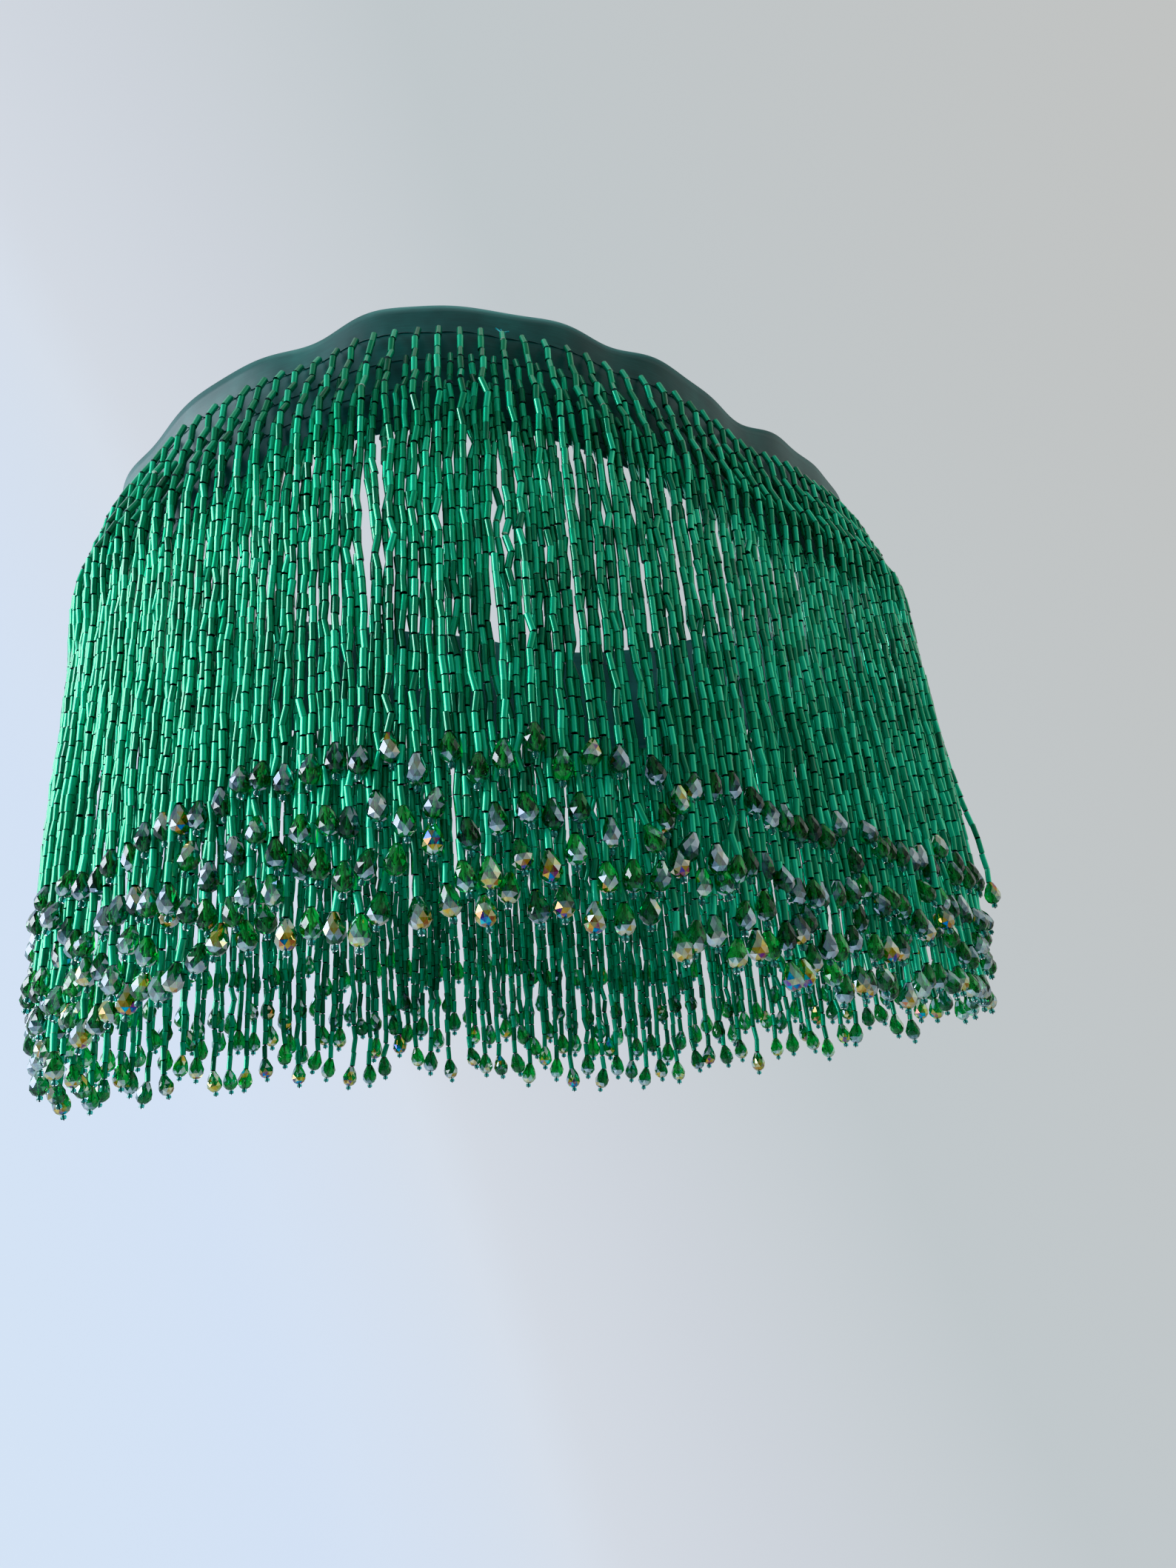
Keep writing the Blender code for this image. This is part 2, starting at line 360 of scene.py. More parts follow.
# %% Sideways places
BUGLES = (26, 27, 27, 27)
BUGLE_PITCH = 0.0056
TOP_THREAD = 0.0008
CLOSEST = 0.00154
LEVELS = BUGLE_PITCH * np.arange(39)
BUNCHES = ((11, 0.005, 0.013, 0.020, 0.120), (12, 0.006, 0.017, 0.085, 0.215))
BUNCH_COUNT, BUNCH_STRENGTH = 200, 0.12
WAVES = 9
WAVES_ACROSS, WAVES_DOWN = (0.014, 0.070), (0.09, 0.30)
ROOT_SCATTER, SETTLE, DRIFT, WANDER = 0.00035, 0.0005, 0.0012, 0.00040
SETTLING, DRIFTING, WANDERING = (0.015, 0.060), (0.012, 0.060), (0.012, 0.050)
PUSH_ROUNDS = 160


def bunch_pull(run, drop):
    """Pull of each strand towards the middle of its bunch. The ring is cut into bunches of uneven width,
    once for the upper part and once for the lower, and each pull grows and fades with the drop."""
    shift = 0.0
    for seed, narrowest, widest, top, bottom in BUNCHES:
        chance = np.random.default_rng(seed)
        edges = np.concatenate([[0.0], np.cumsum(chance.uniform(narrowest, widest, BUNCH_COUNT))])
        strength = chance.uniform(0.0, BUNCH_STRENGTH, BUNCH_COUNT + 1)
        bunch = np.clip(np.searchsorted(edges, run) - 1, 0, BUNCH_COUNT - 1)
        pull = strength[bunch] * ((edges[bunch] + edges[bunch + 1]) / 2 - run)
        middle, half = (top + bottom) / 2, (bottom - top) / 2
        shift = shift + pull * np.exp(-((drop - middle) / half) ** 2)
    return shift


def shared_drift(run, drop):
    """Slow drift that neighbours share: nine seeded waves that run round the ring and down it."""
    chance = np.random.default_rng(5)
    waves = zip(*(chance.uniform(*limits, WAVES) for limits in (WAVES_ACROSS, WAVES_DOWN, (0, 6.3))))
    swing = sum(np.sin(2 * math.pi * (run / across + drop / down) + phase) for across, down, phase in waves)
    return DRIFT / 3 * swing * ease(drop, *DRIFTING)


def own_wander(chance, strands, steps, size):
    """Drift of single strands: seeded noise at each step, averaged over seven steps in a row."""
    noise = chance.normal(0.0, size, (strands, steps + 6))
    return sum(noise[:, i:i + steps] for i in range(7)) / math.sqrt(7)


chance = np.random.default_rng(100)
stagger = np.array(ROW_STAGGER)[:, None]
row_roots = SEAM_GAP / 2 + STRAND_PITCH * (np.arange(STRANDS) + FIRST_STRAND + stagger)
row_roots = row_roots + chance.normal(0, ROOT_SCATTER, row_roots.shape)
order = np.argsort(row_roots.ravel())
place = row_roots.ravel()[order][:, None] + np.zeros(len(LEVELS))
place = place + bunch_pull(place, LEVELS) + shared_drift(place, LEVELS)
place = place + chance.normal(0, SETTLE, (len(order), 1)) * ease(LEVELS, *SETTLING)
place = place + own_wander(chance, len(order), len(LEVELS), WANDER) * ease(LEVELS, *WANDERING)
for _ in range(PUSH_ROUNDS):
    lack = np.clip(CLOSEST - np.diff(place, axis=0), 0, None) / 2
    place[:-1] -= lack
    place[1:] += lack
level_runs = np.empty_like(place)
level_runs[order] = place
level_runs = level_runs.reshape(ROW_COUNT, STRANDS, len(LEVELS))
print("strands:", ROW_COUNT * STRANDS, "pitch in mm:", round(1000 * STRAND_PITCH, 2))

# %% [markdown]
# Each joint between two beads now gets its three lengths. Its place round the ring is read off between
# two levels, with a sharper kink at a few joints where a bead has caught on its neighbour. A strand steps
# out over each later row before it reaches that row's stitches, so the first row ends up outermost. From
# a drop of 42 mm to one of 70 mm the four layers then ease into one nested sheet, where the later rows'
# strands fill the gaps between the first row's. The strands are strung by hand, so a strand is up to 6 mm
# longer or shorter than the mean.

# %% Joints between the beads
ROOT_OUT, LAYER_STEP, STEP_OUT_DROP = 0.0022, 0.0029, 0.0078
SHEET_OUT, NEST_STEP = 0.0072, 0.0006
MERGE_START, MERGE_END = 0.042, 0.070
STRETCH, MOST_STRETCH = 0.021, 0.040
KINK, KINK_SHARE = 0.00055, 0.17
LOOSE_DROP, JITTER, OUT_WANDER = 0.030, 0.00010, 0.00025


def row_joints(row):
    """Length round the ring, drop and distance out of every joint of a row's strands."""
    chance = np.random.default_rng(110 + row)
    joints = BUGLES[row] + 1
    stretch = 1 + np.clip(chance.normal(0, STRETCH, (STRANDS, 1)), -MOST_STRETCH, MOST_STRETCH)
    drop = ROOT_DROPS[row] + TOP_THREAD + BUGLE_PITCH * np.arange(joints) * stretch
    level = np.minimum(drop / BUGLE_PITCH, len(LEVELS) - 1.001)
    below = level.astype(int)
    mine, strand = level_runs[row], np.arange(STRANDS)[:, None]
    run = mine[strand, below] * (1 - level + below) + mine[strand, below + 1] * (level - below)
    loose = ease(drop, ROOT_DROPS[row], ROOT_DROPS[row] + LOOSE_DROP)
    caught = chance.uniform(0, 1, run.shape) < KINK_SHARE
    run = run + loose * (chance.normal(0, JITTER, run.shape) + caught * chance.normal(0, KINK, run.shape))
    depth = own_wander(chance, STRANDS, joints, OUT_WANDER) * loose
    layer = sum(ease(drop, later - ROW_PITCH, later - ROW_PITCH + STEP_OUT_DROP)
                for later in ROOT_DROPS[row + 1:])
    stepped = ROOT_OUT + LAYER_STEP * layer
    nested = SHEET_OUT + NEST_STEP * (ROW_COUNT - 1 - row)
    return run, drop, stepped + (nested - stepped) * ease(drop, MERGE_START, MERGE_END) + depth


rows = [row_joints(row) for row in range(ROW_COUNT)]
print("joints:", sum(run.size for run, _, _ in rows))

# %% [markdown]
# The drop crystals are three beads wide, so they can't hang as close as the strands do. Each one is taken
# as a ball, stretched downwards, and for a few dozen rounds every pair that overlaps moves apart, sideways
# and outwards. The lower part of each strand then follows its crystal. One strand at the side also hangs
# a few millimetres clear of the others.

# %% Make room for the crystals
CRYSTAL_LENGTH = 0.0081
CRYSTAL_ROOM = 0.0060
CRYSTAL_SQUEEZE = 0.66
CRYSTAL_FORWARD = (0.0026, 0.0022, 0.0018, 0.0004)
SPREAD_ROUNDS, SPREAD_PUSH = 60, 0.25
FOLLOW_FROM = 0.45
STRAY_ROW, STRAY_STRAND, STRAY_OUT = 0, 89, 0.0055


def spread_crystals(run, drop, out):
    """Moves apart, in run and out, all pairs nearer than a crystal's width, with the drop shortened by the
    squeeze so that a crystal counts as a ball. Gives the change of run and of out."""
    place = np.stack([run, out], axis=-1)
    start = place.copy()
    height = CRYSTAL_SQUEEZE * (drop[:, None] - drop[None, :])
    for _ in range(SPREAD_ROUNDS):
        apart = place[:, None] - place[None, :]
        apart[..., 0] -= RING_LENGTH * np.round(apart[..., 0] / RING_LENGTH)
        flat = np.linalg.norm(apart, axis=-1) + 1e-9
        lack = np.clip(CRYSTAL_ROOM - np.hypot(flat, height), 0, None)
        np.fill_diagonal(lack, 0)
        place += SPREAD_PUSH * np.einsum("ij,ijk->ik", lack / flat, apart)
    return (place - start).T


ends = [(run[:, -1], drop[:, -1] + CRYSTAL_LENGTH / 2, out[:, -1] + forward)
        for (run, drop, out), forward in zip(rows, CRYSTAL_FORWARD)]
run_change, out_change = spread_crystals(*(np.concatenate(part) for part in zip(*ends)))
joint_points, root_points = [], []
for row, (run, drop, out) in enumerate(rows):
    follow = ease(np.linspace(0, 1, run.shape[1]), FOLLOW_FROM, 1.0)[None, :]
    mine = slice(row * STRANDS, (row + 1) * STRANDS)
    run = run + follow * run_change[mine, None]
    out = out + follow * (CRYSTAL_FORWARD[row] + out_change[mine, None])
    if row == STRAY_ROW:
        out[STRAY_STRAND] += STRAY_OUT * follow[0] ** 2
    joint_points.append(hang(run, drop, out))
    root_points.append(hang(run[:, 0], ROOT_DROPS[row], CAD_TAPE_THICKNESS / 4))
print("crystals moved sideways by up to, in mm:", round(1000 * float(np.abs(run_change).max()), 2))

# %% [markdown]
# ## Bugle beads
#
# A bugle bead is a length of drawn glass tube, cut and slightly fire-polished. A strand of them is made
# as one closed surface: a profile carried along the strand's joints. At each joint it narrows to the
# thread, and from there the end face of the bead opens to the bead's full radius, runs along its side and
# closes again. That makes three bands of eight faces a bead, few enough for more than 13,000 beads. The
# sides are shaded smooth and the end faces flat, so each bead keeps the crisp rim of cut glass.

# %% Strand surfaces
SIDES = 8
BEAD_RADIUS = 0.00105
THREAD_RADIUS = 0.00018
BEAD_GAP = 0.00022
BORE_SLACK = 0.00015
SIZE_SPREAD = 0.02
BEAD_ASIDE = (0.31, 0.95, 0.05)
GLASS, THREAD = 0, 1
ROOT, UPPER_FACE, SIDE, LOWER_FACE, TIP = range(5)


def unit(vectors):
    """The vectors, each divided by its length."""
    return vectors / np.linalg.norm(vectors, axis=-1, keepdims=True)


def square_pair(axis, aside):
    """Two unit vectors square to each axis and to each other. aside is a direction that no axis takes."""
    across = unit(np.cross(axis, np.array(aside)))
    return across, np.cross(axis, across)


def rings_round(centre, axis, radius, spin):
    """Circles of SIDES points: two vectors square to the axis, turned by the spin, times the radius."""
    across, other = square_pair(axis, BEAD_ASIDE)
    angle = spin[..., None] + 2 * math.pi * np.arange(SIDES) / SIDES
    across, other = across[..., None, :], other[..., None, :]
    circle = np.cos(angle)[..., None] * across + np.sin(angle)[..., None] * other
    return centre[..., None, :] + radius * circle


def tube_faces(tubes, levels):
    """Side quads and end caps of closed tubes, whose points come tube by tube and ring by ring."""
    start = (np.arange(tubes) * levels * SIDES)[:, None, None]
    quads = (grid_faces(levels, SIDES, closed=True)[:, ::-1][None] + start).reshape(-1, 4)
    cap = np.arange(SIDES)[None]
    return [quads, np.concatenate([cap + start[:, 0], cap[:, ::-1] + start[:, 0] + (levels - 1) * SIDES])]


def plain_tubes(name, line, radius, material):
    """A piece of tubes of one radius, one along each line of points."""
    rings = rings_round(line, unit(np.gradient(line, axis=1)), radius, np.zeros(line.shape[:2]))
    return new_piece(name, rings.reshape(-1, 3), tube_faces(*line.shape[:2]), [material])


def strand_surfaces(row, roots, joints, tips):
    """All strands of a row as rings of points: the root, then for each bead the joint above it and its two
    rims, then the last joint and the thread's tip. The rims sit square to their bead's own axis, which
    the slack in the bore tilts a little."""
    chance = np.random.default_rng(200 + row)
    beads = joints.shape[1] - 1
    slack = chance.normal(0, BORE_SLACK, (2, *joints[:, 1:].shape))
    top, bottom = joints[:, :-1] + slack[0], joints[:, 1:] + slack[1]
    axis = unit(bottom - top)
    spin = chance.uniform(0, 2 * math.pi, (STRANDS, 1)) * np.ones((1, beads))
    size = BEAD_RADIUS * chance.normal(1, SIZE_SPREAD, (STRANDS, beads, 1, 1))
    upper_rim = rings_round(top + axis * BEAD_GAP / 2, axis, size, spin)
    lower_rim = rings_round(bottom - axis * BEAD_GAP / 2, axis, size, spin)
    joint_axis = unit(np.concatenate([axis[:, :1], axis[:, 1:] + axis[:, :-1], axis[:, -1:]], axis=1))
    necks = rings_round(joints, joint_axis, THREAD_RADIUS, np.concatenate([spin, spin[:, -1:]], axis=1))
    beaded = np.stack([necks[:, :-1], upper_rim, lower_rim], axis=2).reshape(STRANDS, 3 * beads, SIDES, 3)
    first = rings_round(roots[:, None], joint_axis[:, :1], THREAD_RADIUS, spin[:, :1])
    last = rings_round(tips[:, None], joint_axis[:, -1:], THREAD_RADIUS, spin[:, -1:])
    rings = np.concatenate([first, beaded, necks[:, -1:], last], axis=1)
    return rings, chance.uniform(0, 1, (STRANDS, beads))


def strand_piece(name, rings, tone, materials):
    """One mesh of a row's strands. Each band between two rings is thread, end face or side, and has its
    place on the bead in the UV map: round it, and along it from 0 to 1."""
    strands, levels = rings.shape[:2]
    beads = tone.shape[1]
    quads, caps = tube_faces(strands, levels)
    band = np.concatenate([[ROOT], np.tile([UPPER_FACE, SIDE, LOWER_FACE], beads), [TIP]])
    bead = np.concatenate([[0], np.repeat(np.arange(beads), 3), [beads - 1]])
    low, high = (band > SIDE).astype(float), (band >= SIDE).astype(float)
    side = np.arange(SIDES) / SIDES
    u = np.stack([side, side, side + 1 / SIDES, side + 1 / SIDES], axis=-1)[None, :, ::-1]
    v = np.stack([low, high, high, low], axis=-1)[:, None, ::-1]
    quad_uv = np.tile(np.stack(np.broadcast_arrays(u, v), axis=-1).reshape(-1, 2), (strands, 1))
    uv = np.concatenate([quad_uv, np.zeros((caps.size, 2))])
    is_thread, is_round = (np.tile(np.repeat(chosen, SIDES), strands) for chosen in (
        (band == ROOT) | (band == TIP), (band != UPPER_FACE) & (band != LOWER_FACE)))
    material_of = np.concatenate([np.where(is_thread, THREAD, GLASS), np.full(len(caps), THREAD)])
    smooth = np.concatenate([is_round, np.zeros(len(caps), bool)])
    bead_tone = np.repeat(tone[:, bead].ravel(), SIDES)
    return new_piece(name, rings.reshape(-1, 3), [quads, caps], materials, smooth, material_of, uv,
                     {"tone": np.concatenate([bead_tone, np.zeros(len(caps))])}, rims=SIDES)


# %% [markdown]
# ## Drop crystals and stoppers
#
# The drop is pressed and cut glass, pear-shaped, with eight facets round. Six rings of eight points make
# it, and every second ring is turned by half a facet, so the bands between them are triangles that lie in
# pairs, as the kites of the real cut do. Long facets at the top and short ones at the bottom follow from
# the depths of the rings. A narrow bore is drilled through it for the thread, and shows inside the clear
# glass as a pale line. The stopper is a round seed bead, a small ring with a rounded section.

# %% Crystal and stopper shapes
FACETS = 8
CRYSTAL_PROFILE = ((0.0, 0.00112), (0.0023, 0.00232), (0.0044, 0.00302),
                   (0.0061, 0.00292), (0.0074, 0.00208), (CRYSTAL_LENGTH, 0.00098))
CRYSTAL_ASIDE = (0.27, 0.96, 0.08)
BORE_SIDES, BORE_RADIUS, BORE_INSET = 5, 0.00040, 0.0003
STOPPER_LENGTH, STOPPER_RINGS, STOPPER_TURN = 0.0016, 5, 1.25
STOPPER_CORE, STOPPER_ROUND, STOPPER_HALF = 0.00062, 0.00046, 0.00072


def upright_rings(radius, height, angle):
    """Points ring by ring about the upright axis: radius times cosine and sine of the angle, and height."""
    rings = np.broadcast_arrays(radius * np.cos(angle), radius * np.sin(angle), height)
    return np.stack(rings, axis=-1).reshape(-1, 3)


def crystal_shape():
    """Points and faces of one crystal, with its axis down from the origin: ring by ring, points at the
    profile's radius and depth, and two triangles a facet between a ring and the next, turned one."""
    depth, radius = np.array(CRYSTAL_PROFILE).T[:, :, None]
    rings = len(CRYSTAL_PROFILE)
    half_turn = 0.5 * (np.arange(rings) % 2)[:, None]
    angle = 2 * math.pi / FACETS * (np.arange(FACETS)[None] + half_turn)
    here = np.arange(FACETS)
    triangles = []
    for ring in range(rings - 1):
        above, below = FACETS * ring, FACETS * (ring + 1)
        under, before = (below + (here + ring % 2 - back) % FACETS for back in (0, 1))
        triangles.append(np.stack([above + here, under, above + (here + 1) % FACETS], axis=-1))
        triangles.append(np.stack([above + here, before, under], axis=-1))
    ends = np.stack([here, ((rings - 1) * FACETS + here)[::-1]])
    return upright_rings(radius, -depth, angle), [np.concatenate(triangles), ends]


def bore_shape():
    """A closed tube for the crystal's drilled bore: two rings of five points and a cap on each."""
    angle = 2 * math.pi * np.arange(BORE_SIDES) / BORE_SIDES
    ring = upright_rings(BORE_RADIUS, -BORE_INSET, angle)
    points = np.concatenate([ring, ring + (0, 0, 2 * BORE_INSET - CRYSTAL_LENGTH)])
    cap = np.arange(BORE_SIDES)[None]
    return points, [grid_faces(2, BORE_SIDES, closed=True),
                    np.concatenate([cap, cap[:, ::-1] + BORE_SIDES])]


def stopper_shape():
    """A seed bead: five rings of eight points, from the bore's rim over the rounded outside and back."""
    turn = np.linspace(-STOPPER_TURN, STOPPER_TURN, STOPPER_RINGS)[::-1, None]
    radius = STOPPER_CORE + STOPPER_ROUND * np.cos(turn)
    height = STOPPER_HALF * np.sin(turn) / math.sin(STOPPER_TURN) - STOPPER_LENGTH / 2
    angle = 2 * math.pi * np.arange(SIDES) / SIDES
    cap = np.arange(SIDES)[None]
    return upright_rings(radius, height, angle), [
        grid_faces(STOPPER_RINGS, SIDES, closed=True),
        np.concatenate([cap[:, ::-1], cap + (STOPPER_RINGS - 1) * SIDES])]


def scatter(points, faces, origin, axis, spin, size):
    """Copies of one shape, as one array of points and faces: each is scaled, turned by its spin about its
    own axis, tipped so that the axis points up along its vector, and moved to its origin."""
    across, other = square_pair(axis, CRYSTAL_ASIDE)
    c, s = np.cos(spin)[:, None], np.sin(spin)[:, None]
    x = points[None, :, 0] * c - points[None, :, 1] * s
    y = points[None, :, 0] * s + points[None, :, 1] * c
    z = np.broadcast_to(points[None, :, 2], x.shape)
    local = np.stack([x, y, z], axis=-1) * size[:, None, None]
    frames = np.stack([across, other, axis], axis=1)
    placed = np.einsum("npk,nkj->npj", local, frames) + origin[:, None]
    offset = (np.arange(len(origin)) * len(points))[:, None, None]
    return placed.reshape(-1, 3), [(part[None] + offset).reshape(-1, part.shape[1]) for part in faces]


crystal, bore, stopper = crystal_shape(), bore_shape(), stopper_shape()
print("faces of a crystal, a bore and a stopper:",
      [sum(map(len, faces)) for _, faces in (crystal, bore, stopper)])

# %% [markdown]
# ## Glass
#
# Silver-lined glass is clear green glass with a mirror in its bore. Light goes in, comes back from the
# lining and leaves tinted, so the bead looks like bright green foil under a hard gloss. It is made as a
# pale metal, with typical roughness for a drawn bore, under a glossy coat that is tinted green. Each bead
# has its own tone, the drawn glass has faint streaks along it, and the lining stops short of the cut
# ends, which are dark, or pale on the few beads whose ends are chipped.

# %% Silver-lined glass
UNLINED_SHARE = 0.024
CHIPPED_TONE = 0.93
TONE_SHIFT = 57.0


def silver_lined_glass():
    """Pale metal under a green coat. The tone of each bead comes from its attribute, the streaks from a
    noise that is stretched along the bead, and the dark or chipped ends from the place along it."""
    material, tree = new_material("silver_lined_emerald_glass")
    tone = named_value(tree, "tone")
    place = add_node(tree, "ShaderNodeUVMap", {"uv_map": "surface"})
    around = add_node(tree, "ShaderNodeMapping", {}, {"Scale": (9.0, 1.2, 1.0)},
                      {"Vector": place.outputs["UV"]})
    shifted = add_node(tree, "ShaderNodeMath", {"operation": "MULTIPLY"}, {1: TONE_SHIFT},
                       {0: tone})
    streaks = add_node(tree, "ShaderNodeTexNoise", {"noise_dimensions": "4D"},
                       {"Scale": 1.0, "Detail": 2.0},
                       {"Vector": around.outputs["Vector"], "W": shifted.outputs["Value"]})
    shade = add_node(tree, "ShaderNodeMath", {"operation": "MULTIPLY_ADD"}, {1: 0.35},
                     {0: streaks.outputs["Fac"], 2: tone})
    tint = add_node(tree, "ShaderNodeValToRGB", {}, {}, {"Fac": shade.outputs["Value"]})
    fill_ramp(tint, [(0.14, "#07664a"), (0.32, "#0a9069"), (0.75, "#10ab80"), (1.0, "#30c9a0")])
    split = add_node(tree, "ShaderNodeSeparateXYZ", {}, {}, {"Vector": place.outputs["UV"]})
    from_end = add_node(tree, "ShaderNodeMath", {"operation": "PINGPONG"}, {1: 0.5},
                        {0: split.outputs["Y"]})
    lined = add_node(tree, "ShaderNodeMapRange", {"interpolation_type": "SMOOTHSTEP"},
                     {"From Min": 0.0, "From Max": UNLINED_SHARE}, {"Value": from_end.outputs["Value"]})
    chipped = add_node(tree, "ShaderNodeMath", {"operation": "GREATER_THAN"}, {1: CHIPPED_TONE},
                       {0: tone})
    ends = add_node(tree, "ShaderNodeMix", {"data_type": "RGBA"},
                    {"A": linear("#03251a"), "B": linear("#a9c2ad")}, {"Factor": chipped.outputs["Value"]})
    colour = add_node(tree, "ShaderNodeMix", {"data_type": "RGBA"}, {},
                      {"Factor": lined.outputs["Result"], "A": ends.outputs["Result"],
                       "B": tint.outputs["Color"]})
    polish = add_node(tree, "ShaderNodeMapRange", {}, {"To Min": 0.30, "To Max": 0.44},
                      {"Value": streaks.outputs["Fac"]})
    finish_material(tree, {"Metallic": 0.8, "Base Color": linear("#dfe6e1"), "Coat Weight": 1.0,
                           "Coat Roughness": 0.06, "Coat IOR": 1.52},
                    {"Coat Tint": colour.outputs["Result"], "Roughness": polish.outputs["Result"]})
    return material


lined_glass = silver_lined_glass()
print("bead material:", lined_glass.name)

# %% [markdown]
# The crystals are clear green glass. A vapour of metal oxide was laid on them in the oven, and leaves a
# film that is thinner than the light's own wave. It mirrors the room in lavender grey where it is about
# 40 nm thick, in gold at 70 nm, in rose or violet at 95 nm and in blue at 115 nm. Blender's glass has
# such a film, so each facet only gets the film's thickness. The crystal's bore is ground and matt, and
# the seed beads are clear teal glass without a film.

# %% Coated crystal and seed glass
def coated_crystal():
    """Clear green glass under a film of titanium oxide. Each facet's attribute gives its micrometres."""
    material, tree = new_material("rainbow_coated_green_crystal")
    tone = named_value(tree, "tone")
    green = add_node(tree, "ShaderNodeValToRGB", {}, {}, {"Fac": tone})
    fill_ramp(green, [(0.0, "#0a5427"), (0.6, "#12742b"), (1.0, "#22963a")])
    nanometres = add_node(tree, "ShaderNodeMath", {"operation": "MULTIPLY"}, {1: 1000.0},
                          {0: named_value(tree, "film")})
    finish_material(tree, {"Roughness": 0.02, "IOR": 1.56, "Transmission Weight": 1.0,
                           "Thin Film IOR": 2.6},
                    {"Base Color": green.outputs["Color"],
                     "Thin Film Thickness": nanometres.outputs["Value"]})
    return material


def ground_bore():
    """The drilled bore of a crystal: ground glass, matt and pale, which the green glass round it tints."""
    material, tree = new_material("ground_glass_bore")
    finish_material(tree, {"Base Color": linear("#f2fff0"), "Roughness": 0.8})
    return material


def seed_glass():
    """Clear teal glass, a little smoky."""
    material, tree = new_material("clear_teal_seed_glass")
    tone = named_value(tree, "tone")
    tint = add_node(tree, "ShaderNodeValToRGB", {}, {}, {"Fac": tone})
    fill_ramp(tint, [(0.0, "#2f8f84"), (1.0, "#59b9a9")])
    finish_material(tree, {"Roughness": 0.05, "IOR": 1.52, "Transmission Weight": 0.85,
                           "Coat Weight": 0.3}, {"Base Color": tint.outputs["Color"]})
    return material


def dyed_thread(name, dark, light):
    """Twisted polyester thread: dull, with a fine mottle between its two tones."""
    material, tree = new_material(name)
    place = add_node(tree, "ShaderNodeTexCoord")
    twist = add_node(tree, "ShaderNodeTexNoise", {}, {"Scale": 2500.0, "Detail": 1.0},
                     {"Vector": place.outputs["Object"]})
    dye = add_node(tree, "ShaderNodeValToRGB", {}, {}, {"Fac": twist.outputs["Fac"]})
    fill_ramp(dye, [(0.3, dark), (0.7, light)])
    finish_material(tree, {"Roughness": 0.65, "IOR": 1.5, "Sheen Weight": 0.2},
                    {"Base Color": dye.outputs["Color"]})
    return material


crystal_glass, bore_glass, stopper_glass = coated_crystal(), ground_bore(), seed_glass()
thread = dyed_thread("dark_green_polyester_thread", "#081f1c", "#143630")
knot_thread = dyed_thread("turquoise_polyester_thread", "#1b7f86", "#2fa4a6")
print("materials:", crystal_glass.name, bore_glass.name, stopper_glass.name, thread.name)

# %% [markdown]
# ## Hang the rows
#
# Each row is three pieces: its bugles on their thread, its crystals with their bores and stoppers, and the
# stitches that run along the ribbon from root to root. The crystals tip a little, as they rest on each
# other. One root of the first row also has a frayed turquoise thread end.

# %% Rows of strands
STITCH_RADIUS, STITCH_HEIGHT, STITCH_WAVER, STITCH_STEPS = 0.00018, 0.0003, 0.0002, 8
KNOT_STRAND, END_LENGTH, END_RADIUS = 58, 0.0030, 0.00022
END_SPREAD, END_STEPS = (-0.9, 0.1, 0.8), 6
TILT, TIP_REACH, END_PLAY = 0.13, 1.15, 0.0001
COAT_UP = (0.75, 0.6, 0.4, 0.25)
THICK_COAT = (0.12, 0.20, 0.38, 0.55)
COAT_STEEP, COAT_WRAP, COAT_GAIN, COAT_FADE = 1.6, 0.26, 0.85, 0.7
THIN_FILM, THICK_FILM = (0.036, 0.048), (0.072, 0.118)
FILM_SPREAD, TONE_SPREAD = 0.16, 0.08


def coat_films(chance, row):
    """Film thickness and glass tone of each crystal's facets. The vapour came from one side: a facet that
    faces it has the whole film and one that faces away has none. In the lower rows more crystals were
    coated from below, and thickly."""
    points, (facets, caps) = crystal
    a, b, c = (points[facets[:, corner]] for corner in range(3))
    normal = unit(np.cross(b - a, c - a))
    toward = chance.normal(0, 1, (STRANDS, 3))
    toward[:, 2] = np.where(chance.uniform(0, 1, STRANDS) < COAT_UP[row], COAT_STEEP, -COAT_STEEP)
    faces_it = np.clip(COAT_WRAP + COAT_GAIN * unit(toward) @ normal.T, 0, 1)
    thick = chance.uniform(0, 1, STRANDS) < THICK_COAT[row]
    most = np.where(thick, chance.uniform(*THICK_FILM, STRANDS), chance.uniform(*THIN_FILM, STRANDS))
    film = most[:, None] * faces_it ** COAT_FADE * chance.normal(1, FILM_SPREAD, faces_it.shape)
    tone = chance.uniform(0, 1, (STRANDS, 1)) + chance.normal(0, TONE_SPREAD, faces_it.shape)
    tone = np.clip(tone, 0, 1)
    ends = np.zeros((STRANDS, len(caps)))
    return np.concatenate([film.ravel(), ends.ravel()]), np.concatenate([tone.ravel(), ends.ravel()])


